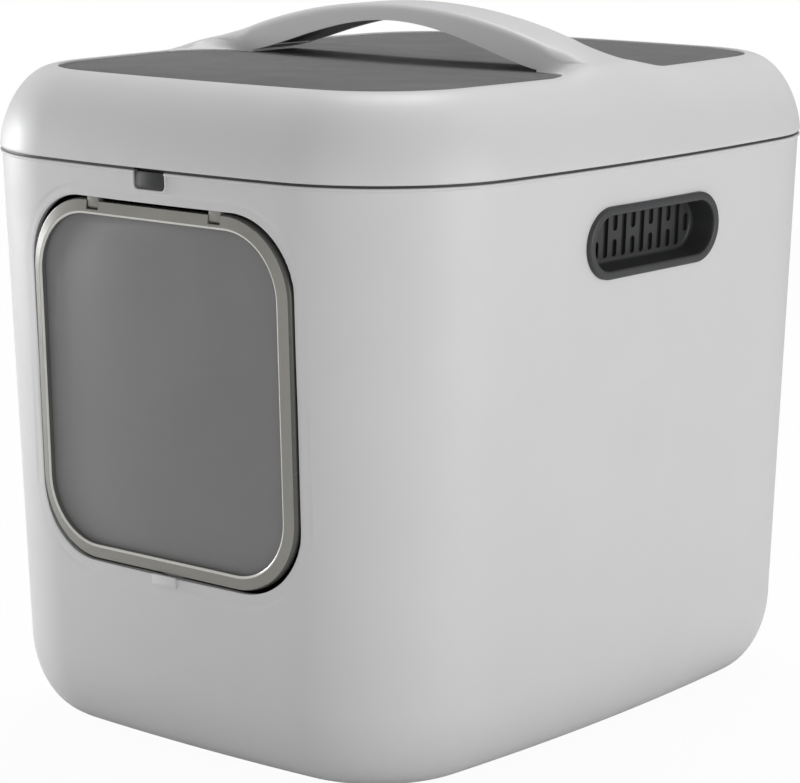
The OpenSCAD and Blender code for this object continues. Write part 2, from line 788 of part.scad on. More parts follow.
// Hinge leaf of the lid, its seat and its screw
leaf_lean = atan((lid_in(35) - lid_in(8)) / (lid_up(35) - lid_up(8)));
module leaf_plate(g) {
    translate([hinge_x, half_l - bow_at_hinge - 0.3, lid_z + 0.8]) rotate([leaf_lean, 0, 0])
        translate([-knuckle_l / 2 - g, -g, -g]) cube([knuckle_l + 2 * g, leaf_t + g, leaf_h + 2 * g]);
}
module leaf_screw_place() {
    translate([hinge_x, half_l - bow_at_hinge - 0.3, lid_z + 0.8]) rotate([leaf_lean, 0, 0])
        translate([0, leaf_t, leaf_h * 0.72]) rotate([90, 0, 0]) children();
}

module lid_shell() color(white)
    difference() {
        union() {
            lid_dome();
            arch();
        }
        arch_band(liner_half_l + seat_gap, liner_w + seat_gap, -over, liner_in + liner_t + seat_gap);
        both_sides() leaf_plate(seat_gap);
        both_sides() leaf_screw_place() cylinder(h = 4 * lid_t, d = screw_d + 2 * seat_gap, $fn = 48);
    }

module handle_liner() color(dark)
    arch_band(liner_half_l, liner_w, liner_in, liner_in + liner_t);

// Plan of the arch's two feet, widened by g
module feet_plan(g) {
    xs = [for (i = [0:10]) gap_half_l + (flare_end - gap_half_l) * sin(9 * i)];
    both_sides2d()
        polygon(concat(
            [[gap_half_l - g, -arch_w / 2 - g]],
            [for (x = xs) [x, -foot_half(x) - g]],
            [[half_w, -foot_half(half_w) - g], [half_w, foot_half(half_w) + g]],
            [for (x = reversed(xs)) [x, foot_half(x) + g]],
            [[gap_half_l - g, arch_w / 2 + g]]
        ));
}
module both_sides2d() {
    for (s = [0, 1]) mirror([s, 0]) children();
}

module top_mat() color(mat_grey)
    translate([0, 0, deck_z])
        linear_extrude(mat_t)
            difference() {
                polygon(outline(lid_inset + lip_w + mat_gap, lid_inset + lip_w + mat_gap));
                feet_plan(mat_gap);
            }

// Frame between lid and tub: edge, upstand in the lid and skirt in the tub
upstand_in = lid_t + 1.6;
upstand_h = 8;
skirt_in = bead_w + tub_t + skirt_gap;
module frame_ring() {
    profile = [
        [frame_setback, frame_z], [frame_setback, lid_z], [upstand_in, lid_z],
        [upstand_in, lid_z + upstand_h], [upstand_in + skirt_t, lid_z + upstand_h],
        [skirt_in + skirt_t, lid_z], [skirt_in + skirt_t, frame_z - skirt_d],
        [skirt_in, frame_z - skirt_d], [skirt_in, frame_z]
    ];
    loop([for (p = profile) ring(p[0], p[0], p[1])]);
}

latch_axis = [7 - half_l, lid_z + 4.5];
latch_barrel_r = 2.6;
ear_t = 3;
module lid_frame() color(dark)
    difference() {
        union() {
            frame_ring();
            for (s = [-1, 1])
                translate([s * (notch_w / 2 + ear_t / 2) - ear_t / 2, -half_l + upstand_in, lid_z - frame_t])
                    cube([ear_t, 6, upstand_h]);
        }
        translate([-notch_w / 2, -half_l - over, frame_z - skirt_d - over])
            cube([notch_w, over + skirt_in + skirt_t + 3, skirt_d + frame_t + upstand_h + 2 * over]);
        rod_x(0, notch_w + 2 * ear_t + over, latch_axis, latch_pin_d / 2 + 0.02);
    }

// Latch: a tab in the tub's notch and a lever up to its barrel behind the lid's wall
tab_top = rim_h - 0.4;
tab_low = rim_h - latch_h;
tab_y = frame_setback - half_l;
lever_half = 1.3;
module tab_outline() {
    translate([0, latch_axis[0] + latch_barrel_r, 0]) rotate([90, 0, 0]) linear_extrude(latch_axis[0] + latch_barrel_r + half_l)
        rounded(-latch_w / 2, tab_low, latch_w / 2, latch_axis[1] + 2 * latch_barrel_r, notch_r - latch_gap);
}
module lid_latch() color(dark)
    difference() {
        union() {
            intersection() {
                tab_outline();
                cross_plate(0, latch_w)
                    polygon([
                        [tab_y, tab_low],
                        [tab_y + latch_t, tab_low],
                        [tab_y + latch_t, tab_low + latch_h / 2],
                        [latch_axis[0] + lever_half, tab_low + latch_h / 2 + 2],
                        [latch_axis[0] + lever_half, latch_axis[1]],
                        [latch_axis[0] - lever_half, latch_axis[1]],
                        [latch_axis[0] - lever_half, tab_top],
                        [tab_y, tab_top]
                    ]);
            }
            rod_x(0, latch_w, latch_axis, latch_barrel_r);
        }
        rod_x(0, latch_w + over, latch_axis, latch_pin_d / 2 + run_gap);
    }

module latch_pin() color(steel)
    rod_x(0, notch_w + 2 * ear_t - 2 * seat_gap, latch_axis, latch_pin_d / 2);

// Lid side of the rear hinges
module lid_leaf() color(white)
    difference() {
        union() {
            leaf_plate(0);
            rod_x(hinge_x, knuckle_l - 2 * seat_gap, [axis_y, seam_z], barrel_r);
            cross_plate(hinge_x, knuckle_l - 2 * seat_gap)
                polygon([
                    [half_l - bow_at_hinge + 0.2, lid_z + 1.2],
                    [half_l - bow_at_hinge + 0.2, lid_z + 6],
                    [axis_y, seam_z + barrel_r],
                    [axis_y, seam_z],
                    [axis_y - barrel_r, seam_z + 0.5],
                    [half_l + 0.4, lid_z + 1.2]
                ]);
        }
        rod_x(hinge_x, knuckle_l + over, [axis_y, seam_z], hinge_pin_d / 2 + run_gap);
        leaf_screw_place() translate([0, 0, -over]) cylinder(h = leaf_t + 2 * over, d = screw_d + 2 * seat_gap, $fn = 48);
    }
module lid_hinge_right() lid_leaf();
module lid_hinge_left() mirror([1, 0, 0]) lid_leaf();

module lid_hinge_screws() color(steel)
    both_sides() leaf_screw_place() {
        nut_z = leaf_t + lid_t + 1.4;
        nut_t = 2.2;
        screw(nut_z + nut_t);
        translate([0, 0, nut_z]) cylinder(h = nut_t, d = 5.5, $fn = 6);
    }

// The whole box with the origin in its middle
module placed() translate([0, -rear_reach / 2, 0]) children();

placed() tub();
placed() grip_right();
placed() grip_left();
placed() filter_right();
placed() filter_left();
placed() filter_cover_right();
placed() filter_cover_left();
placed() foot_front_left();
placed() foot_front_right();
placed() foot_rear_left();
placed() foot_rear_right();
placed() flap_lug_left();
placed() flap_lug_right();
placed() flap_rod();
placed() tub_hinge_left();
placed() tub_hinge_right();
placed() hinge_pin_left();
placed() hinge_pin_right();
placed() hinge_screws();
placed() lid_shell();
placed() handle_liner();
placed() top_mat();
placed() lid_frame();
placed() lid_hinge_left();
placed() lid_hinge_right();
placed() lid_hinge_screws();
placed() lid_latch();
placed() latch_pin();
placed() flap_border();
placed() flap_window();
placed() flap_lock();
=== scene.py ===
# %% [markdown]
# # A litter box with a lid, a flap and a carrying arch
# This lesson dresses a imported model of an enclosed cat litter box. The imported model, called the frame here,
# already has every piece at its real size and place. What it lacks is the look: its big curved shells are
# made of flat facets, and every piece is one plain colour. We rebuild the shells with fine meshes that lie on
# the same curves, and we give each surface a finish made from shader nodes.

import json
import math

import bmesh
import bpy
import numpy as np
from mathutils import Matrix, Vector


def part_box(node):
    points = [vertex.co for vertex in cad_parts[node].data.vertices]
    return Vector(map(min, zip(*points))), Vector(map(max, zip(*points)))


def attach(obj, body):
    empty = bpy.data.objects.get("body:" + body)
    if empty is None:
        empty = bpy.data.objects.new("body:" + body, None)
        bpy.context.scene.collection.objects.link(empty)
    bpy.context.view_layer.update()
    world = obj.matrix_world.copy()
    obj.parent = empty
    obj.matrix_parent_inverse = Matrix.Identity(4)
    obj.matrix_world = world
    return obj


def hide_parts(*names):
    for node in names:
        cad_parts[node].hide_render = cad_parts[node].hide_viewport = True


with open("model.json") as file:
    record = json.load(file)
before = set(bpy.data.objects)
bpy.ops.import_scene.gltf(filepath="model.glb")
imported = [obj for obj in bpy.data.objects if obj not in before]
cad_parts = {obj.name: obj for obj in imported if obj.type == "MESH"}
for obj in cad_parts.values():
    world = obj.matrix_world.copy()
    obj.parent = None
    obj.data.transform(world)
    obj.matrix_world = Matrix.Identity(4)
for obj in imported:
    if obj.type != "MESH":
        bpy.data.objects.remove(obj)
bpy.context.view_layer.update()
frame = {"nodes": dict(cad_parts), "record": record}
MM = 0.001

# %% [markdown]
# ## Sizes that everything follows
# The tub and the lid share one plan: a rectangle whose four sides bow outwards a little and whose corners are
# large arcs. We read the overall sizes from the frame, so the fine shells lie where the facets were. All
# lengths in this lesson are in millimetres until a mesh is made. The hinges reach out behind the tub, so the
# tub's own middle lies a little in front of the frame's origin. The pieces are drawn round the tub's middle,
# and the step that makes a mesh moves them into place.

# %% Read the driving sizes from the frame
lid_low, lid_high = (np.array(v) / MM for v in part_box("lid_shell"))
tub_low, tub_high = (np.array(v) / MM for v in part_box("tub"))
liner_low, liner_high = (np.array(v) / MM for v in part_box("handle_liner"))
mat_low, mat_high = (np.array(v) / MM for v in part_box("top_mat"))

half_w = lid_high[0]
half_l = (lid_high[1] - lid_low[1]) / 2
middle_y = (lid_high[1] + lid_low[1]) / 2
rim_z = tub_high[2]
tub_z = tub_low[2]
lid_z = lid_low[2]
deck_z = mat_low[2]
lip_z = deck_z + 4.0
seam_z = (rim_z + 0.3 + lid_z) / 2
bow_front, bow_side, corner = 1540.0, 1750.0, 100.0
wall = 3.0
bead = 1.2
slope_front, slope_side = 0.032, 0.042
print("plan", 2 * half_w, "x", 2 * half_l, "mm, rim at", round(rim_z, 1), "mm, lip at", round(lip_z, 1), "mm")

# %% [markdown]
# ## The plan as a formula
# A bowed rectangle is eight arcs: four long shallow ones for the sides and four tight ones for the corners,
# each meeting the next with no kink. The corner's centre is the point at the right distance from the
# centres of both side arcs. Drawing the plan in by some distance gives the same shape for an inner wall, so
# one function serves every ring of every shell. The points are closer together where a shape needs it.

# %% Plan of the box
def corner_centre(hw, hl, rf, rs, rc):
    """Centre of the corner arc that touches the side arc and the front arc."""
    f, s = np.array([0, hl - rf]), np.array([hw - rs, 0])
    gap = s - f
    d = np.hypot(*gap)
    e = gap / d
    a, b = rf - rc, rs - rc
    t = (d * d + a * a - b * b) / (2 * d)
    return f + e * t + np.array([e[1], -e[0]]) * math.sqrt(a * a - t * t)


def arc_points(centre, r, angles):
    return np.stack([centre[0] + r * np.cos(angles), centre[1] + r * np.sin(angles)], axis=1)


def plan(ex, ey, side_steps=10, corner_steps=20, front_x=None):
    """The closed plan, drawn in by ex at the sides and ey at the ends, counter-clockwise from the +X side."""
    hw, hl, rf, rs, rc = half_w - ex, half_l - ey, bow_front - ey, bow_side - ex, corner - (ex + ey) / 2
    c = corner_centre(hw, hl, rf, rs, rc)
    a_side = math.atan2(c[1], c[0] - hw + rs)
    a_front = math.atan2(c[1] - hl + rf, c[0])
    side = arc_points((hw - rs, 0), rs, np.linspace(0, a_side, side_steps, endpoint=False))
    turn = arc_points(c, rc, np.linspace(a_side, a_front, corner_steps, endpoint=False))
    if front_x is None:
        front_angles = np.linspace(a_front, math.pi / 2, side_steps, endpoint=False)
    else:
        reach = rf * math.cos(a_front)
        front_angles = np.arccos(np.array([reach * x for x in front_x]) / rf)
    end = arc_points((0, hl - rf), rf, front_angles)
    quarter = np.concatenate([side, turn, end])
    right_rear = np.concatenate([quarter, [[0, hl]]])
    left_rear = right_rear[-2:0:-1] * [-1, 1]
    rear = np.concatenate([right_rear, left_rear, [[-hw, 0]]])
    return np.concatenate([rear, -rear[1:-1]])


print("corner centre:", corner_centre(half_w, half_l, bow_front, bow_side, corner).round(1))

# %% [markdown]
# ## Mesh helpers
# Most pieces here are a row of rings joined by quads, closed at both ends or open. A second helper turns such
# a mesh into a named object. It shades smoothly and keeps only true corners sharp. A third gives the piece its
# material, hangs it on the body it rides on, and hides the imported nodes it stands for.

# %% Rings to mesh, mesh to object
def skin(rings, loop=False, cap_start=False, cap_end=False):
    """Vertices and faces of quads between rings of equal length."""
    n, m = len(rings[0]), len(rings)
    verts = np.concatenate(rings)
    faces = []
    for k in range(m if loop else m - 1):
        a, c = k * n, ((k + 1) % m) * n
        faces += [(a + i, a + (i + 1) % n, c + (i + 1) % n, c + i) for i in range(n)]
    if cap_start:
        faces.append(tuple(range(n - 1, -1, -1)))
    if cap_end:
        faces.append(tuple((m - 1) * n + i for i in range(n)))
    return verts, faces


def flat_ring(ex, ey, z, **steps):
    p = plan(ex, ey, **steps)
    return np.column_stack([p, np.full(len(p), z)])


def mesh_object(name, verts, faces, sharp_degrees=40):
    mesh = bpy.data.meshes.new(name)
    mesh.from_pydata(((np.asarray(verts) + [0, middle_y, 0]) * MM).tolist(), [], faces)
    mesh.validate()
    mesh.shade_smooth()
    mesh.set_sharp_from_angle(angle=math.radians(sharp_degrees))
    obj = bpy.data.objects.new(name, mesh)
    bpy.context.scene.collection.objects.link(obj)
    return obj


def cut_or_join(obj, other, operation, sharp_degrees=40):
    """Applies a boolean with another object, and removes that object."""
    step = obj.modifiers.new(operation, "BOOLEAN")
    step.operation = operation
    step.object = other
    step.solver = "MANIFOLD"
    view = bpy.context.evaluated_depsgraph_get()
    result = bpy.data.meshes.new_from_object(obj.evaluated_get(view))
    old = obj.data
    obj.modifiers.clear()
    obj.data = result
    result.name = obj.name
    bpy.data.meshes.remove(old)
    bpy.data.objects.remove(other)
    result.shade_smooth()
    result.set_sharp_from_angle(angle=math.radians(sharp_degrees))


def dress(obj, material, body, slot, *nodes):
    """Gives a finished piece its material, hangs it on its body and hides the imported nodes it stands for."""
    obj.data.materials.clear()
    obj.data.materials.append(material)
    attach(obj, body)
    if nodes:
        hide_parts(*nodes)
    print("piece", obj.name, "with", len(obj.data.polygons), "faces on", body)


# %% [markdown]
# ## Finishes
# Every finish is a Principled shader with a little help. Moulded plastic is never quite even: its skin has a
# very fine grain, its gloss varies in soft patches, and its tone drifts a little from place to place. Object
# coordinates are used throughout, so that the grain stays fixed to the piece when a lid or a flap swings. All
# sizes are real: a noise scale of 2000 on a model in metres makes grains of about half a millimetre.

# %% Helpers for shader nodes
def new_material(name):
    mat = bpy.data.materials.new(name)
    mat.use_nodes = True
    nodes, links = mat.node_tree.nodes, mat.node_tree.links
    shader = nodes["Principled BSDF"]
    place = nodes.new("ShaderNodeTexCoord").outputs["Object"]
    return mat, nodes, links, shader, place


def noise(nodes, links, place, scale, detail=3.0):
    node = nodes.new("ShaderNodeTexNoise")
    node.inputs["Scale"].default_value = scale
    node.inputs["Detail"].default_value = detail
    links.new(place, node.inputs["Vector"])
    return node.outputs["Fac"]


def spread(nodes, links, value, low, high, start=0.3, end=0.7):
    """Maps the middle of a noise onto the range from low to high."""
    node = nodes.new("ShaderNodeMapRange")
    node.inputs["From Min"].default_value = start
    node.inputs["From Max"].default_value = end
    node.inputs["To Min"].default_value = low
    node.inputs["To Max"].default_value = high
    links.new(value, node.inputs["Value"])
    return node.outputs["Result"]


def blend_colours(nodes, links, amount, first, second):
    node = nodes.new("ShaderNodeMix")
    node.data_type = "RGBA"
    node.inputs["A"].default_value = (*first, 1)
    node.inputs["B"].default_value = (*second, 1)
    links.new(amount, node.inputs["Factor"])
    return node.outputs["Result"]


def add_bump(nodes, links, shader, height, strength, distance):
    node = nodes.new("ShaderNodeBump")
    node.inputs["Strength"].default_value = strength
    node.inputs["Distance"].default_value = distance
    links.new(height, node.inputs["Height"])
    links.new(node.outputs["Normal"], shader.inputs["Normal"])


def moulded_plastic(name, light, dark, gloss, grain=1500.0, depth=0.00003):
    """Plastic with fine grain, patchy gloss and a faint mottle between two near colours."""
    mat, nodes, links, shader, place = new_material(name)
    mottle = spread(nodes, links, noise(nodes, links, place, 14.0), 0.0, 1.0)
    links.new(blend_colours(nodes, links, mottle, light, dark), shader.inputs["Base Color"])
    patches = noise(nodes, links, place, 40.0)
    links.new(spread(nodes, links, patches, gloss - 0.05, gloss + 0.05), shader.inputs["Roughness"])
    add_bump(nodes, links, shader, noise(nodes, links, place, grain, 2.0), 0.25, depth)
    return mat


# %% The plain finishes
shell_white = moulded_plastic("shell_white", (0.66, 0.66, 0.66), (0.645, 0.645, 0.648), 0.48)
trim_dark = moulded_plastic("trim_dark", (0.040, 0.041, 0.043), (0.034, 0.035, 0.037), 0.42)
seam_dark = moulded_plastic("seam_dark", (0.030, 0.031, 0.033), (0.024, 0.025, 0.027), 0.55)
foot_rubber = moulded_plastic("foot_rubber", (0.045, 0.045, 0.045), (0.03, 0.03, 0.03), 0.75)
carbon_foam = moulded_plastic("carbon_foam", (0.018,) * 3, (0.008,) * 3, 0.95, 700.0, 0.0006)
steel = moulded_plastic("zinc_steel", (0.60, 0.60, 0.62), (0.50, 0.50, 0.52), 0.3)
steel.node_tree.nodes["Principled BSDF"].inputs["Metallic"].default_value = 1.0
flap_frame = moulded_plastic("flap_frame", (0.305, 0.296, 0.27), (0.282, 0.273, 0.25), 0.34, 900.0)
# Tones of the flap frame painted by how its faces turn: a pale painted highlight for the polished chamfer, dark
# painted shade for the outer sides, a lighter painted shade for the inner wall.
flap_edge_painted_highlight = moulded_plastic("flap_edge_painted_highlight", (0.74, 0.73, 0.69), (0.70, 0.69, 0.65), 0.25)
flap_side_painted_shade = moulded_plastic("flap_side_painted_shade", (0.10, 0.10, 0.092), (0.085, 0.085, 0.078), 0.3)
flap_inner_painted_shade = moulded_plastic("flap_inner_painted_shade", (0.16, 0.16, 0.15), (0.14, 0.14, 0.13), 0.35)
flap_glazing = moulded_plastic("flap_glazing", (0.25,) * 3, (0.232,) * 3, 0.42, 300.0, 0.000004)
flap_glazing.node_tree.nodes["Principled BSDF"].inputs["Specular IOR Level"].default_value = 0.22


def woven_rubber(name, light, dark, pitch, depth):
    """Rubber with rows of staggered dots, as a mesh of fine threads leaves them, the hollows between them
    painted darker as shade.
    """
    mat, nodes, links, shader, place = new_material(name)
    turned = nodes.new("ShaderNodeMapping")
    turned.inputs["Rotation"].default_value = (0, 0, math.radians(45))
    turned.inputs["Scale"].default_value = (2 * math.pi / pitch,) * 3
    links.new(place, turned.inputs["Vector"])
    axes = nodes.new("ShaderNodeSeparateXYZ")
    links.new(turned.outputs["Vector"], axes.inputs["Vector"])
    waves = []
    for axis in ("X", "Y"):
        wave = nodes.new("ShaderNodeMath")
        wave.operation = "SINE"
        links.new(axes.outputs[axis], wave.inputs[0])
        waves.append(wave.outputs[0])
    dots = nodes.new("ShaderNodeMath")
    dots.operation = "MULTIPLY"
    links.new(waves[0], dots.inputs[0])
    links.new(waves[1], dots.inputs[1])
    height = spread(nodes, links, dots.outputs[0], 0.0, 1.0, -0.5, 0.8)
    # The colour follows the dots' height: their tops are lighter, and the hollows between them carry painted
    # shade.
    links.new(blend_colours(nodes, links, height, dark, light), shader.inputs["Base Color"])
    patches = noise(nodes, links, place, 30.0)
    links.new(spread(nodes, links, patches, 0.62, 0.78), shader.inputs["Roughness"])
    add_bump(nodes, links, shader, height, 0.6, depth)
    return mat


mat_grey = woven_rubber("mat_grey", (0.20, 0.20, 0.203), (0.07, 0.07, 0.072), 0.0034, 0.0006)
finish_of_slot = {
    "shell_white": shell_white, "trim_dark": trim_dark, "mat_grey": mat_grey, "flap_frame": flap_frame,
    "flap_glazing": flap_glazing, "carbon_foam": carbon_foam, "foot_rubber": foot_rubber, "steel": steel,
}
for part in frame["record"]["subparts"]:
    node = frame["nodes"][part["node"]]
    node.data.materials.clear()
    node.data.materials.append(finish_of_slot[part["material_slot"]])
print("finishes:", len(finish_of_slot))

# %% [markdown]
# ## The tub
# The tub is one moulding: a flat floor, a rounding, leaning walls and a small bead at the rim. Round the
# doorway the wall steps in by less than half a millimetre and comes back out towards the edge. The step is
# gentler at the sides, where the wall already curves away. Cutting that surround with a boolean would leave
# hard creases, so the wall is a fine grid and each of its points moves by an amount that depends on its
# distance from the doorway. Only the doorway itself is then cut through.

# %% Sizes of the doorway and of the other openings
flap_half, flap_top, flap_bottom, flap_r, flap_gap = 104.7, 21.5, 243.5, 47.5, 1.6
door_half, door_top, door_bottom = flap_half + flap_gap, flap_top - flap_gap, flap_bottom + flap_gap
door_r = flap_r - 2.5
surround_w, surround_low_w, surround_d = 7.6, 8.8, 0.4
step_w, edge_w, edge_d = 2.8, 1.0, 0.5
notch_half, notch_bottom, notch_r = 12.3, 11.6, 3.0
grip_half, grip_drop, grip_r = 66.5, 46.2, 21.85
lean_front, lean_side = math.atan(slope_front), math.atan(slope_side)
wall_drop = seam_z - tub_z - 54.0


def rounded_box_distance(x, z, half, top, bottom, r):
    """Distance outside a rounded rectangle, negative inside it."""
    qx = np.abs(x) - (half - r)
    qz = np.abs(z - (top + bottom) / 2) - ((bottom - top) / 2 - r)
    outside = np.hypot(np.maximum(qx, 0), np.maximum(qz, 0))
    return outside + np.minimum(np.maximum(qx, qz), 0) - r


def ease(t):
    t = np.clip(t, 0, 1)
    return t * t * (3 - 2 * t)


# %% Press in the doorway's surround
def press_front(points):
    """Moves the points of the front wall along Y, as the doorway's surround asks."""
    x, y, z = points.T
    front = (y < -half_l * 0.7) & (np.abs(x) < half_w * 0.8)
    drop = seam_z - z
    door = rounded_box_distance(x, drop, door_half, door_top, door_bottom, door_r)
    below = np.clip((drop - (door_bottom - door_r)) / door_r, 0, 1)
    width = surround_w + (surround_low_w - surround_w) * ease(below)
    beside = np.clip((np.abs(x) - (door_half - door_r)) / door_r, 0, 1)
    depth = surround_d * (1 - 0.6 * ease(beside))
    step_in = ease((width - door) / step_w)
    back_out = np.clip((width - step_w - door) / (width - step_w), 0, 1)
    edge = np.clip(1 - (door - 0.1) / edge_w, 0, 1)
    shift = depth * step_in * (1 - 0.9 * back_out) + edge_d * edge ** 3
    out = points.copy()
    out[:, 1] += np.where(front & (drop > 0.5), shift, 0)
    return out


front_steps = 1 - np.concatenate([
    np.linspace(0, 0.06, 5, endpoint=False), np.linspace(0.06, 0.17, 30, endpoint=False),
    np.linspace(0.17, 0.45, 30, endpoint=False), np.linspace(0.45, 1, 22, endpoint=False),
])
fine = dict(side_steps=24, corner_steps=80, front_x=front_steps)


def wall_inset(drop, extra=0.0):
    """How far the leaning wall is drawn in at a depth below the seam, at the sides and at the ends."""
    return bead + slope_side * drop + extra, bead + slope_front * drop + extra


def base_rings(extra, floor_z, width, height, steps):
    """Rings of the elliptical rounding between wall and floor, from the floor up."""
    ex, ey = wall_inset(wall_drop, extra)
    angles = np.linspace(0, math.pi / 2, steps)
    rings = []
    for t in angles:
        inward = width * (1 - math.sin(t))
        rings.append(flat_ring(ex + inward, ey + inward, floor_z + height * (1 - math.cos(t)), **fine))
    return rings


# %% The tub's shell
drops = np.concatenate([
    np.linspace(2.6, 12, 8), np.linspace(13, 24, 34), np.linspace(25, 68, 40), np.linspace(72, 196, 28),
    np.linspace(199, 240, 38), np.linspace(241, 253, 34), np.linspace(255, wall_drop - 4, 10),
])
outer = base_rings(0.0, tub_z, 34.0, 54.0, 26)
outer += [flat_ring(*wall_inset(d), seam_z - d, **fine) for d in drops[::-1]]
outer = [press_front(r) for r in outer]
bead_out, bead_up = bead + 0.05, 1.0
for t in np.linspace(-math.pi / 2, math.pi / 2, 11)[1:]:
    inward = bead_out * (1 - math.cos(t))
    outer.append(flat_ring(inward, inward, rim_z - bead_up + bead_up * math.sin(t), **fine))
inner_drops = np.linspace(1.5, wall_drop - 4, 14)
inner_edge, edge_cut = bead + wall, 0.4
inner = [
    flat_ring(inner_edge - edge_cut, inner_edge - edge_cut, rim_z, **fine),
    flat_ring(inner_edge, inner_edge, rim_z - edge_cut, **fine),
]
inner += [flat_ring(*wall_inset(d, wall), seam_z - d, **fine) for d in inner_drops]
inner += base_rings(wall, tub_z + wall, 31.0, 51.0, 12)[::-1]
tub = mesh_object("tub_shell", *skin(outer + inner, cap_start=True, cap_end=True))
print("tub shell:", len(tub.data.vertices), "points")


# %% [markdown]
# The doorway, the notch for the latch, the lock's slot and the two grip holes go right through the wall. Each
# cutter is a plate drawn in the wall's own leaning frame, a little thicker than the wall. Cutters that don't
# touch become one mesh, so that few booleans do the work. A bead round the notch, a collar and the screw
# bosses inside are joined on first. The collar follows the bow of the wall, so none of it comes out in front.

# %% Frames of the leaning walls
front_frame = Matrix.Translation((0, bead - half_l, seam_z)) @ Matrix.Rotation(lean_front, 4, "X")
rear_frame = Matrix.Translation((0, half_l - bead, seam_z)) @ Matrix.Rotation(-lean_front, 4, "X")
right_frame = Matrix.Translation((half_w - bead, 0, seam_z)) @ Matrix.Rotation(lean_side, 4, "Y")
left_frame = Matrix.Scale(-1, 4, (1, 0, 0)) @ right_frame


def into(matrix, verts):
    """Points given in a wall's frame, put into the box's frame."""
    m = np.array(matrix)
    return np.asarray(verts) @ m[:3, :3].T + m[:3, 3]


def rounded_outline(half, top, bottom, r, steps=16):
    """Rounded rectangle as X and Z, seen from -Y. top and bottom are depths below the seam."""
    x, high, low = half - r, -top - r, r - bottom
    corners = [(x, high, 0), (-x, high, 90), (-x, low, 180), (x, low, 270)]
    points = []
    for cx, cz, start in corners:
        a = np.radians(np.linspace(start, start + 90, steps + 1))
        points.append(np.column_stack([cx + r * np.cos(a), cz + r * np.sin(a)]))
    return np.concatenate(points)


def front_prism(outline, y_front, y_back):
    """Plate with an outline in X and Z, between two depths behind the wall."""
    x, z = outline.T
    rings = [np.column_stack([x, np.full(len(x), y), z]) for y in (y_back, y_front)]
    return skin(rings, cap_start=True, cap_end=True)


def gather(*meshes):
    """Several (vertices, faces) pairs as one."""
    verts, faces, count = [], [], 0
    for v, f in meshes:
        verts.append(np.asarray(v))
        faces += [tuple(i + count for i in face) for face in f]
        count += len(v)
    return np.concatenate(verts), faces


def round_post(matrix, x, z, r, y0, y1, steps=32):
    """Round post along the frame's Y axis."""
    a = np.linspace(0, 2 * math.pi, steps, endpoint=False)
    outline = np.column_stack([x + r * np.cos(a), z + r * np.sin(a)])
    v, f = front_prism(outline, y0, y1)
    return into(matrix, v), f


# %% Collar and bosses, then the openings
collar_back, collar_w, collar_step = 6.8, 8.0, 3.0


def door_outline(wider, steps=32):
    """Outline of the doorway, made wider all round."""
    return rounded_outline(door_half + wider, door_top - wider, door_bottom + wider, door_r + wider, steps)


def notch_bead(r=0.85, out=0.0):
    """Round bead that runs down one side of the latch notch, under it and up again."""
    half, low, bend, start_z, stretch = notch_half + r, notch_bottom + r, notch_r + r, -1.2, 1.3
    path = [(-half, start_z, math.pi)]
    for x, first in [(bend - half, 180), (half - bend, 270)]:
        for t in np.radians(np.linspace(first, first + 90, 12)):
            path.append((x + bend * math.cos(t), -low + bend + bend * math.sin(t), t))
    path.append((half, start_z, 2 * math.pi))
    rings = []
    for x, z, facing in path:
        a = np.linspace(0, 2 * math.pi, 17)[:-1]
        across = r * np.cos(a)
        rings.append(np.column_stack([
            x + across * math.cos(facing), -out + stretch * r * np.sin(a), z + across * math.sin(facing)]))
    return skin(rings, cap_start=True, cap_end=True)


bead_v, bead_f = notch_bead()
cut_or_join(tub, mesh_object("notch_bead", into(front_frame, bead_v), bead_f), "UNION")


def behind_bow(outline, depth):
    """Outline of X and Z set at a depth behind the bowed face of the wall."""
    y = bow_front - np.sqrt(bow_front**2 - outline[:, 0] ** 2) + depth
    return np.column_stack([outline[:, 0], y, outline[:, 1]])


collar_ring = behind_bow(door_outline(collar_w), wall - 1.0)
collar_rear = collar_ring.copy()
collar_rear[:, 1] = np.maximum(collar_back, collar_ring[:, 1] + 0.5)
collar_v, collar_f = skin([collar_rear, collar_ring], cap_start=True, cap_end=True)
bosses = [round_post(rear_frame, s * 90.0, -d, 4.5, -12.5, -2.0) for s in (-1, 1) for d in (12.5, 23.0)]
extras = mesh_object("extras", *gather((into(front_frame, collar_v), collar_f), *bosses))
cut_or_join(tub, extras, "UNION")

door_v, door_f = front_prism(door_outline(0.0), -12, 14)
wide_door = door_outline(collar_step)
step_front = behind_bow(wide_door, wall + 0.1)
step_rear = np.column_stack([wide_door[:, 0], np.full(len(wide_door), 14.0), wide_door[:, 1]])
step_v, step_f = skin([step_rear, step_front], cap_start=True, cap_end=True)
notch_v, notch_f = front_prism(rounded_outline(notch_half, -8, notch_bottom, notch_r), -12, 6)
lock_slot = rounded_outline(5.05, door_bottom - 4, door_bottom + 6.2, 0.4, 4)
slot_v, slot_f = front_prism(lock_slot, -1, 10)
grip_a = np.linspace(0, math.pi, 33) - math.pi / 2
hole_r = grip_r + 0.1
hole_x = grip_half - grip_r + hole_r * np.cos(grip_a)
grip_side = np.column_stack([hole_x, hole_r * np.sin(grip_a) - grip_drop])
grip_outline = np.concatenate([grip_side, grip_side[::-1] * [-1, 1]])


def side_prism(outline, x_in, x_out, mirrored=False):
    """Plate with an outline in Y and Z in a side wall's frame, between two distances from the wall."""
    rings = [np.column_stack([np.full(len(outline), x), outline]) for x in (x_in, x_out)]
    v, f = skin(rings, cap_start=True, cap_end=True)
    v = into(left_frame if mirrored else right_frame, v)
    return v, [face[::-1] for face in f] if mirrored else f


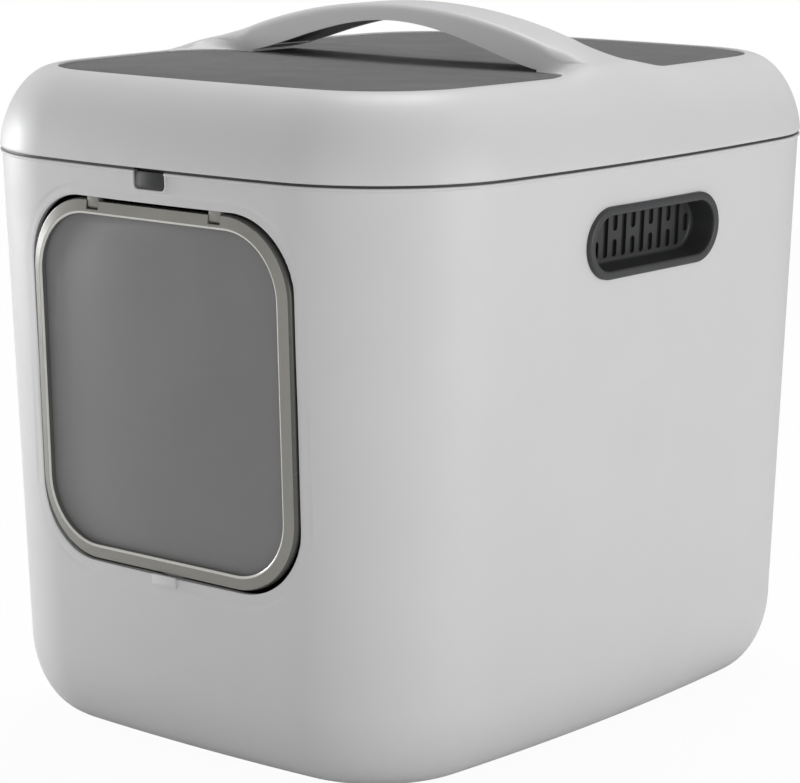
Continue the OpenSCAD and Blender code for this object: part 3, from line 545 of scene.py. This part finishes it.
large_cuts = mesh_object("large_cuts", *gather(
    (into(front_frame, door_v), door_f),
    side_prism(grip_outline, -9, 9), side_prism(grip_outline, -9, 9, mirrored=True)))
cut_or_join(tub, large_cuts, "DIFFERENCE")
cut_or_join(tub, mesh_object("collar_step", into(front_frame, step_v), step_f), "DIFFERENCE")
small_cuts = mesh_object("small_cuts", *gather(
    (into(front_frame, notch_v), notch_f), (into(front_frame, slot_v), slot_f)))
cut_or_join(tub, small_cuts, "DIFFERENCE")
dress(tub, shell_white, "tub", "shell_white", "tub")

# %% [markdown]
# ## The lid
# The lid rises from the seam in a soft dome, ends in a narrow lip, and holds a sunken mat. Its profile is a
# superellipse: a circle's formula with powers that make it fuller near the top. Sweeping it round the same
# plan gives the dome. The carrying arch is lofted on its own from cross-sections along X and joined with a
# boolean, as its feet spread out and run tangent into the shoulder.

# %% Dome of the lid
dome_in, dome_h, lip_w = 35.3, lip_z - lid_z, 1.2
power_out, power_up = 2 / 1.96, 2 / 1.69
round_plan = dict(side_steps=80, corner_steps=40)


def dome_profile(steps):
    """Inset and height of the dome, from the seam to the lip."""
    a = np.linspace(0, math.pi / 2, steps)
    return dome_in * (1 - np.cos(a) ** power_out), dome_h * np.sin(a) ** power_up


def dome_height(inset):
    """Height of the dome over the seam at a distance in plan from its edge."""
    c = np.clip(1 - np.asarray(inset) / dome_in, 0, 1) ** (1 / power_out)
    return np.where(np.asarray(inset) >= dome_in, dome_h, dome_h * (1 - c * c) ** (power_up / 2))


arch_rise, arch_half, bend_r, edge_r = 35.3, 20.0, 383.0, 5.0
gap_rise, gap_half, flare_w = 24.7, 117.0, 38.0
flare_end = half_w - dome_in - lip_w / 2
foot_end = half_w - 5
rise_at_foot = arch_rise - bend_r + math.sqrt(bend_r**2 - gap_half**2)
crown_half, foot_power = 13.0, 1.25


def hump(y, wide):
    """Soft hump from 0 at the foot's edge to 1 in its middle."""
    return ease((wide - np.abs(y)) / (wide - crown_half))


def foot_rise(x, y):
    """Height of the arch's foot over the lid's shoulder, which it meets with no kink."""
    left = np.clip((foot_end - np.abs(x)) / (foot_end - gap_half), 0, 1)
    rise = np.where(np.abs(x) > gap_half, rise_at_foot * left**foot_power, 0)
    return rise * hump(y, arch_half + flare_w)


def raise_feet(ring):
    ring = ring.copy()
    ring[:, 2] += foot_rise(ring[:, 0], ring[:, 1])
    return ring


def lid_ring(inset, z):
    return flat_ring(inset, inset, z, **round_plan)


ins, ups = dome_profile(40)
outer_lid = [lid_ring(0.9, lid_z), lid_ring(0.4, lid_z + 0.12), lid_ring(0.12, lid_z + 0.45)]
outer_lid += [raise_feet(lid_ring(e, lid_z + u)) for e, u in zip(ins[1:], ups[1:])]
top_in = dome_in + lip_w
outer_lid += [lid_ring(top_in - 0.35, lip_z - 0.03), lid_ring(top_in - 0.08, lip_z - 0.2)]
outer_lid += [lid_ring(top_in, lip_z - 0.5), lid_ring(top_in, deck_z)]
cavity_in, cavity_h = dome_in + lip_w + 1 - wall, dome_h - 4.0 - wall
inner_lid = []
for t in np.linspace(0, math.pi / 2, 14)[::-1]:
    inward = wall + cavity_in * (1 - math.cos(t) ** power_out)
    inner_lid.append(lid_ring(inward, lid_z + cavity_h * math.sin(t) ** power_up))
lid = mesh_object("lid_shell_fine", *skin(inner_lid + outer_lid, cap_start=True, cap_end=True))

# %% Cross-sections of the arch
def gap_z(x):
    """Underside of the arch."""
    return lip_z + 0.4 + (gap_rise - 0.4) * max(0.0, 0.5 + 0.5 * math.cos(math.pi * x / gap_half)) ** 0.633


def arch_z(x):
    """Crest of the arch, running out over the lid's shoulder."""
    if abs(x) <= gap_half:
        return lip_z + arch_rise - bend_r + math.sqrt(bend_r**2 - x * x)
    sink = 0.12 if abs(x) > flare_end else 0.0
    left = (foot_end - abs(x)) / (foot_end - gap_half)
    return lid_z + float(dome_height(half_w - abs(x))) + rise_at_foot * max(left, 0) ** foot_power - sink


tip_w = 3.0


def foot_half_width(x):
    t = min(1, max(0, (abs(x) - gap_half) / (flare_end - tip_w - gap_half)))
    return arch_half + flare_w * (1 - math.sqrt(1 - t * t))


def arch_section(x):
    """Closed cross-section of the arch: flared sides, rounded upper edges, hidden underside."""
    over_gap = abs(x) <= gap_half
    surface = lid_z + float(dome_height(half_w - abs(x)))
    base = gap_z(x) if over_gap else surface - 0.3
    under = gap_z(x) if over_gap else (deck_z - 1.5 if abs(x) < flare_end + lip_w else surface - 1.5)
    top, wide = arch_z(x), foot_half_width(x)
    r = max(0.15, min(edge_r, 0.45 * (top - base)))
    side = [(wide, under)]
    for s in np.linspace(0, 1, 14):
        side.append((wide + (arch_half - wide) * s, base + (top - r - base) * s * s + 0.02 * s))
    for t in np.linspace(0, math.pi / 2, 10)[1:]:
        side.append((arch_half - r + r * math.cos(t), top - r + r * math.sin(t)))
    half = np.array(side)
    if not over_gap:
        soft = float(ease((abs(x) - gap_half) / (flare_end - gap_half)))
        humped = base + (top - base) * hump(half[1:, 0], wide)
        half[1:, 1] = half[1:, 1] * (1 - soft) + humped * soft
    both = np.concatenate([half, half[::-1] * [-1, 1]])
    return np.column_stack([np.full(len(both), x), both])


# %% Join the arch, cut its channel for the liner
span = gap_half * np.sin(np.linspace(0, math.pi / 2, 40))
span[-1] = gap_half - 0.01
foot = gap_half + 0.05 + (flare_end - gap_half - 0.05) * np.sin(np.linspace(0, math.pi / 2, 34))
shoulder = np.linspace(flare_end, flare_end + 3, 4)[1:]
stations = np.concatenate([span, foot, shoulder])
stations = np.concatenate([-stations[:0:-1], stations])
arch = mesh_object("arch", *skin([arch_section(x) for x in stations], cap_start=True, cap_end=True))
cut_or_join(lid, arch, "UNION")


def arch_band(half_length, half_width, low, high, steps=48):
    """Band that follows the underside of the arch."""
    rings = []
    for x in np.linspace(-half_length, half_length, steps):
        z, w = gap_z(x), half_width
        rings.append(np.array([(x, w, z + low), (x, w, z + high), (x, -w, z + high), (x, -w, z + low)]))
    return skin(rings, cap_start=True, cap_end=True)


liner_half = (liner_high[1] - liner_low[1]) / 2
channel = mesh_object("channel", *arch_band(100.1, liner_half + 0.1, -1, 4.7))
cut_or_join(lid, channel, "DIFFERENCE")
dress(lid, shell_white, "lid", "shell_white", "lid_shell")
liner = mesh_object("arch_liner", *arch_band(100.0, liner_half, 0.6, 4.6))
dress(liner, trim_dark, "lid", "trim_dark", "handle_liner")

# %% [markdown]
# ## The mat
# A soft woven sheet lies in the recess of the lid, cut out round the two feet of the arch. Its outline is the
# plan once more, drawn in past the lip, with a bite taken out at each foot.

# %% Outline of the mat
mat_in = top_in + 0.5
mat_plan = plan(mat_in, mat_in, side_steps=60, corner_steps=36)
bite_x = gap_half - 0.5


def bite_half(x):
    return foot_half_width(x) + 0.5


def mat_outline():
    """The plan with the two bites, counter-clockwise."""
    keep = [p for p in mat_plan if abs(p[1]) > bite_half(p[0]) or abs(p[0]) < bite_x]
    tip_x = half_w - mat_in - bite_half(flare_end) ** 2 / (2 * (bow_side - mat_in)) - 0.1
    xs = gap_half + (tip_x - gap_half) * np.sin(np.linspace(0, math.pi / 2, 24))
    low_side = [(x, -bite_half(x)) for x in xs[::-1]] + [(bite_x, -arch_half - 0.5)]
    high_side = [(bite_x, arch_half + 0.5)] + [(x, bite_half(x)) for x in xs]
    bite = np.array(low_side + high_side)
    by_angle = sorted(keep, key=lambda p: math.atan2(p[1], p[0]))
    upper = [p for p in by_angle if p[1] > 0]
    lower = [p for p in by_angle if p[1] < 0]
    return np.concatenate([upper, -bite, lower, bite])


def shrink(outline, by):
    """Moves each point of a closed outline inwards along its normal."""
    ahead, behind = np.roll(outline, -1, axis=0), np.roll(outline, 1, axis=0)
    along = ahead - behind
    along /= np.maximum(np.hypot(*along.T), 1e-9)[:, None]
    return outline + by * np.column_stack([-along[:, 1], along[:, 0]])


mat_edge = mat_outline()
mat_top = mat_high[2]
mat_profile = [(0.3, deck_z), (0.3, mat_top - 0.5), (0.38, mat_top - 0.15), (0.6, mat_top)]
mat_rings = [np.column_stack([shrink(mat_edge, e), np.full(len(mat_edge), z)]) for e, z in mat_profile]
mat = mesh_object("lid_mat", *skin(mat_rings, cap_start=True, cap_end=True))
dress(mat, mat_grey, "lid", "mat_grey", "top_mat")

# %% [markdown]
# ## The dark frame at the seam
# Between tub and lid sits a thin dark frame. Seen from outside it is only a line of about a millimetre, and
# that line is what separates the two white shells in every picture. With the lid open its skirt and upstand
# show as well, so all of its profile is swept round the plan.

# %% Sweep the frame
frame_z = rim_z + 0.3
frame_t, upstand_h, skirt_h = 2, 8, 9.5
skirt_in, upstand_in = bead + wall + 1.2, wall + 1.6
frame_profile = [
    (0.8, frame_z), (0.8, lid_z - 0.02), (upstand_in, lid_z),
    (upstand_in, lid_z + upstand_h), (upstand_in + frame_t, lid_z + upstand_h),
    (skirt_in + frame_t, lid_z), (skirt_in + frame_t, frame_z - skirt_h),
    (skirt_in, frame_z - skirt_h), (skirt_in, frame_z),
]
frame_rings = [lid_ring(e, z) for e, z in frame_profile]
seam_frame = mesh_object("seam_frame", *skin(frame_rings, loop=True), sharp_degrees=30)
ear_x, ear_w, ear_h, ear_l, ear_cut = 12.3, 3.0, 6.8, 6, 0.4
latch_gap = np.array([(ear_x, 15.0), (-ear_x, 15.0), (-ear_x, -14.0), (ear_x, -14.0)])
gap_v, gap_f = front_prism(latch_gap, -3, 11.5)
slot_cutter = mesh_object("latch_gap", gap_v + [0, -half_l, seam_z], gap_f)
cut_or_join(seam_frame, slot_cutter, "DIFFERENCE", 30)
ears = []
for side in (-1, 1):
    x0, x1 = sorted((side * ear_x, side * (ear_x + ear_w)))
    y0 = -half_l + upstand_in
    low, high, top = -0.6, ear_h - ear_cut, ear_h
    outline = [(x1, low), (x1, high), (x1 - ear_cut, top), (x0 + ear_cut, top), (x0, high), (x0, low)]
    v, f = front_prism(np.array(outline), y0, y0 + ear_l)
    ears.append((v + [0, 0, lid_z], f))
ear_pair = mesh_object("latch_ears", *gather(*ears))
cut_or_join(seam_frame, ear_pair, "UNION", 30)
dress(seam_frame, seam_dark, "lid", "trim_dark", "lid_frame")

# %% [markdown]
# ## The flap
# The flap is a smoky plate in a clear frame. The frame's face rises from its outer edge towards the plate,
# and ends there in a narrow chamfer, which carries a painted highlight as the bright line round the window.
# Sweeping the section round a rounded rectangle makes the whole frame in one go. The outer edge lies deeper at
# the sides, so the section changes as it goes round. Two notches are cut at the top, where the lugs of the tub
# hold the rod, and between them the edge is a little lower. The faces of the frame that catch or lose light
# get tones of their own: a pale painted highlight on the chamfer, and painted shade on the outer sides and on
# the inner wall round the plate.

# %% Sweep the flap's frame, cut the notches
corner_points = 25
quarters = [np.linspace(start, start + 90, corner_points) for start in (0, 90, 180, 270)]
turn = np.radians(np.concatenate(quarters))


def flap_ring(e, y):
    """Outline of the flap drawn in by e, at a depth y behind the wall. Both may change round the outline."""
    high, low = -flap_top - flap_r, flap_r - flap_bottom
    cx = (flap_half - flap_r) * np.repeat([1, -1, -1, 1], corner_points)
    cz = np.repeat([high, high, low, low], corner_points)
    reach = flap_r - e
    return np.column_stack([cx + reach * np.cos(turn), y + np.zeros(len(turn)), cz + reach * np.sin(turn)])


border_w, groove, face_y, back_y, plate_y = 9.0, 2.2, 0.25, 6.9, 4.3
sideways = np.cos(turn) ** 2
crest, crest_y = 0.7 + 1.3 * sideways, face_y + 0.9 + 1.2 * sideways
flap_profile = [
    (0.0, back_y - 0.8), (0.0, crest_y + 2.2), (0.35 * crest, crest_y + 0.9),
    (0.8 * crest, crest_y + 0.15), (crest + 0.1, crest_y), (crest + 0.55, crest_y - 0.12),
    (border_w - 1.75, face_y + 0.04), (border_w - 1.6, face_y), (border_w - 1.4, face_y + 0.02),
    (border_w - 0.25, face_y + 0.6), (border_w, face_y + 0.85), (border_w, plate_y - 0.1),
    (border_w - groove, plate_y - 0.1), (border_w - groove, 5.2), (border_w, 5.22),
    (border_w, back_y - 0.4), (border_w - 0.4, back_y), (0.8, back_y),
]
border_v, border_f = skin([flap_ring(e, y) for e, y in flap_profile], loop=True)
border = mesh_object("flap_border_fine", into(front_frame, border_v), border_f, 30)
lug_x, lug_half, lug_low, bar_drop = 49.5, 4.85, 27.7, 1.0


def top_block(x0, x1, low):
    """Block through the flap's upper edge, down to a depth below the seam."""
    v, f = front_prism(np.array([(x1, -18.0), (x0, -18.0), (x0, -low), (x1, -low)]), -2, 9)
    return into(front_frame, v), f


notches = [top_block(x - lug_half, x + lug_half, lug_low) for x in (-lug_x, lug_x)]
cut_or_join(border, mesh_object("notches", *gather(*notches)), "DIFFERENCE", 30)
inner_x = lug_x - lug_half + 0.5
low_edge = mesh_object("low_edge", *top_block(-inner_x, inner_x, flap_top + bar_drop))
cut_or_join(border, low_edge, "DIFFERENCE", 30)

# %% Give the frame's chamfer a painted highlight, and its sides and inner wall painted shade
dress(border, flap_frame, "flap", "flap_frame", "flap_border")
for finish in (flap_edge_painted_highlight, flap_side_painted_shade, flap_inner_painted_shade):
    border.data.materials.append(finish)
highlight_edge_index, shade_side_index, shade_inner_index = 1, 2, 3
outer_band, inner_band = 2.3, 6.8
out_of_front = np.array(front_frame.inverted())
for face in border.data.polygons:
    centre = np.array(face.center) / MM - [0, middle_y, 0]
    x, y, z = out_of_front[:3, :3] @ centre + out_of_front[:3, 3]
    e = -float(rounded_box_distance(x, -z, flap_half, flap_top, flap_bottom, flap_r))
    facing_out = -(out_of_front[:3, :3] @ np.array(face.normal))[1]
    # Faces are sorted by place and facing: outer sides get painted shade, the chamfer a painted highlight, the
    # inner wall a lighter painted shade.
    if e < outer_band and facing_out < 0.9:
        face.material_index = shade_side_index
    elif e > inner_band and 0.4 < facing_out < 0.93:
        face.material_index = highlight_edge_index
    elif e > inner_band and facing_out < 0.15:
        face.material_index = shade_inner_index

# %% The window plate
plate_in = border_w - groove + 0.1
plate_profile = [(0.2, 5.1), (0.0, 4.95), (0.0, plate_y + 0.1), (0.2, plate_y)]
plate = [flap_ring(plate_in + e, y) for e, y in plate_profile]
plate_v, plate_f = skin(plate, cap_start=True, cap_end=True)
window = mesh_object("flap_window_fine", into(front_frame, plate_v), plate_f, 50)
window_top = mesh_object("window_top", *top_block(-110.0, 110.0, lug_low + 0.1))
cut_or_join(window, window_top, "DIFFERENCE", 50)
dress(window, flap_glazing, "flap", "flap_glazing", "flap_window")

# %% [markdown]
# ## The hand grips
# Each grip is a dark moulding pressed into a hole of the side wall: a rounded rim, a cup for the fingers, and
# a back wall with slots that let air out through a carbon pad. Rim and cup are one profile swept round a
# stadium. The slots are a pattern of long ones and pairs of short ones, cut through the back wall.

# %% Sweep the grips and cut their slots
def stadium_ring(e, x):
    """Outline of a grip drawn in by e, at a distance out from the wall, in the side wall's frame."""
    r = grip_r - e
    a = np.linspace(-math.pi / 2, math.pi / 2, 33)
    half = np.column_stack([grip_half - grip_r + r * np.cos(a), r * np.sin(a)])
    both = np.concatenate([half, half[::-1] * [-1, 1]])
    return np.column_stack([np.full(len(both), x), both[:, 0], both[:, 1] - grip_drop])


grip_profile = [
    (4.6, -17.8), (3.6, -17.3), (3.4, -16.6), (3.4, -3.6), (0.0, -3.6), (0.0, 0.9), (0.12, 1.35),
    (0.4, 1.7), (0.9, 1.9), (3.9, 1.9), (4.5, 1.8), (5.0, 1.45), (5.2, 0.9), (5.3, -1.0), (5.5, -13.6),
    (5.8, -14.8), (6.5, -15.7), (7.4, -16.0),
]
slot_pitch, slot_r, slot_long, slot_short, slot_last = 9.2, 2.3, 26.6, 10.8, 6


def slot_prism(y, z, height):
    a = np.linspace(0, math.pi, 13)
    top = np.column_stack([y + slot_r * np.cos(a), z + height / 2 - slot_r + slot_r * np.sin(a)])
    low = np.column_stack([y - slot_r * np.cos(a), z - height / 2 + slot_r - slot_r * np.sin(a)])
    outline = np.concatenate([top, low]) + [0, -grip_drop]
    rings = [np.column_stack([np.full(len(outline), x), outline]) for x in (-19.0, -15.5)]
    return skin(rings, cap_start=True, cap_end=True)


def slot_places():
    """Middle and height of each slot: single short ends, long ones and pairs by turns."""
    shift = (slot_long - slot_short) / 2
    for i in range(-slot_last, slot_last + 1):
        y = i * slot_pitch
        if abs(i) == slot_last:
            yield y, 0.0, slot_short
        elif i % 2:
            yield y, 0.0, slot_long
        else:
            yield y, shift, slot_short
            yield y, -shift, slot_short


def make_grip(name, matrix, mirrored):
    v, f = skin([stadium_ring(e, x) for e, x in grip_profile], cap_start=True, cap_end=True)
    slots_v, slots_f = gather(*[slot_prism(*where) for where in slot_places()])
    if mirrored:
        f, slots_f = [face[::-1] for face in f], [face[::-1] for face in slots_f]
    grip = mesh_object(name, into(matrix, v), f, 45)
    cut_or_join(grip, mesh_object("slots", into(matrix, slots_v), slots_f), "DIFFERENCE", 45)
    return grip


for side, matrix, mirrored in [("right", right_frame, False), ("left", left_frame, True)]:
    grip = make_grip("grip_fine_" + side, matrix, mirrored)
    dress(grip, trim_dark, "tub", "trim_dark", "grip_" + side)

# %% [markdown]
# ## Small pieces with softened edges
# The lugs, the lock, the latch, the hinges and the feet already have the right shape in the frame, but their
# edges are razor sharp, and a sharp edge catches no light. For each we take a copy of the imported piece, merge
# its flat faces, and round every corner edge a little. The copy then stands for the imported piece.

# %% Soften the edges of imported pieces
def softened(node, width, body, slot_name, material, name):
    mesh = frame["nodes"][node].data.copy()
    mesh.name = name
    work = bmesh.new()
    work.from_mesh(mesh)
    bmesh.ops.remove_doubles(work, verts=work.verts, dist=2e-6)
    bmesh.ops.dissolve_limit(work, angle_limit=math.radians(1), verts=work.verts, edges=work.edges)
    edges = [e for e in work.edges if e.is_manifold and e.calc_face_angle(0) > math.radians(35)]
    bmesh.ops.bevel(
        work, geom=edges, offset=width * MM, segments=2, profile=0.5, affect="EDGES", clamp_overlap=True)
    work.to_mesh(mesh)
    work.free()
    mesh.materials.clear()
    mesh.shade_smooth()
    mesh.set_sharp_from_angle(angle=math.radians(35))
    obj = bpy.data.objects.new(name, mesh)
    bpy.context.scene.collection.objects.link(obj)
    dress(obj, material, body, slot_name, node)
    return obj


for side in ("left", "right"):
    softened("flap_lug_" + side, 0.3, "tub", "flap_frame", flap_frame, "lug_soft_" + side)
softened("flap_lock", 0.3, "lock", "shell_white", shell_white, "lock_soft")
softened("lid_latch", 0.35, "latch", "trim_dark", trim_dark, "latch_soft")
for side in ("left", "right"):
    softened("tub_hinge_" + side, 0.4, "tub", "shell_white", shell_white, "bracket_soft_" + side)
    softened("lid_hinge_" + side, 0.4, "lid", "shell_white", shell_white, "leaf_soft_" + side)
softened("hinge_screws", 0.25, "tub", "steel", steel, "bracket_screws_soft")
softened("lid_hinge_screws", 0.25, "lid", "steel", steel, "leaf_screws_soft")
for corner_name in ("front_left", "front_right", "rear_left", "rear_right"):
    softened("foot_" + corner_name, 0.6, "tub", "foot_rubber", foot_rubber, "foot_soft_" + corner_name)

# %% [markdown]
# ## Studio
# A pale floor, and a white surround that only the camera sees at full strength. A large soft lamp stands on
# the right, a weak one in front and a small one on the left, and one hangs high up behind the box. The
# camera stands where the picture of the box was taken from, with a long lens.

# %% Floor and world
floor_mesh = bpy.data.meshes.new("floor")
reach = 2
floor_corners = [(-reach, -reach, 0), (reach, -reach, 0), (reach, reach, 0), (-reach, reach, 0)]
floor_mesh.from_pydata(floor_corners, [], [(0, 1, 2, 3)])
floor = bpy.data.objects.new("floor", floor_mesh)
bpy.context.scene.collection.objects.link(floor)
floor_mat = bpy.data.materials.new("pale_floor")
floor_mat.use_nodes = True
nodes, links = floor_mat.node_tree.nodes, floor_mat.node_tree.links
ground = nodes["Principled BSDF"]
ground.inputs["Base Color"].default_value = (0.78, 0.78, 0.78, 1)
ground.inputs["Roughness"].default_value = 0.9
bright = nodes.new("ShaderNodeEmission")
bright.inputs["Strength"].default_value = 1.0
rays = nodes.new("ShaderNodeLightPath")
amount = nodes.new("ShaderNodeMath")
amount.operation = "MULTIPLY"
amount.inputs[1].default_value = 0.96
links.new(rays.outputs["Is Camera Ray"], amount.inputs[0])
both = nodes.new("ShaderNodeMixShader")
links.new(amount.outputs[0], both.inputs["Fac"])
links.new(ground.outputs[0], both.inputs[1])
links.new(bright.outputs[0], both.inputs[2])
links.new(both.outputs[0], nodes["Material Output"].inputs["Surface"])
floor_mesh.materials.append(floor_mat)

world = bpy.data.worlds.new("studio")
bpy.context.scene.world = world
world.use_nodes = True
nodes, links = world.node_tree.nodes, world.node_tree.links
background = nodes["Background"]
seen = nodes.new("ShaderNodeLightPath")
either = nodes.new("ShaderNodeMath")
either.operation = "MAXIMUM"
links.new(seen.outputs["Is Camera Ray"], either.inputs[0])
links.new(seen.outputs["Is Transmission Ray"], either.inputs[1])
level = nodes.new("ShaderNodeMapRange")
level.inputs["To Min"].default_value = 0.37
level.inputs["To Max"].default_value = 1.0
links.new(either.outputs[0], level.inputs["Value"])
links.new(level.outputs["Result"], background.inputs["Strength"])
background.inputs["Color"].default_value = (1, 1, 1, 1)


# %% Lamps and camera
def soft_lamp(name, place, target, size, watts):
    data = bpy.data.lights.new(name, "AREA")
    data.shape = "DISK"
    data.size = size
    data.energy = watts
    lamp = bpy.data.objects.new(name, data)
    lamp.location = place
    lamp.rotation_euler = (Vector(target) - Vector(place)).to_track_quat("-Z", "Y").to_euler()
    bpy.context.scene.collection.objects.link(lamp)
    return lamp


middle = (0, 0, 0.22)
soft_lamp("key_right", (3.2, 0.35, 0.45), middle, 2.0, 49)
soft_lamp("front_soft", (0.4, -2.4, 0.6), (0, 0, 0.15), 1.0, 6.5)
soft_lamp("rim_left", (-2.6, -0.5, 0.42), middle, 0.8, 36)
soft_lamp("top_back", (-0.5, 0.9, 3.0), middle, 1.4, 46)

camera_data = bpy.data.cameras.new("camera")
camera_data.lens = 133.87
camera = bpy.data.objects.new("camera", camera_data)
right, up, back = (0.76553, 0.64340, 0.0), (-0.12539, 0.14919, 0.98083), (0.63106, -0.75085, 0.19488)
turned = Matrix(np.column_stack([right, up, back]).tolist()).to_4x4()
camera.matrix_world = Matrix.Translation((1.21397, -1.45356 + middle_y * MM, 0.57270)) @ turned
bpy.context.scene.collection.objects.link(camera)
bpy.context.scene.camera = camera
bpy.context.scene.view_settings.view_transform = "Standard"
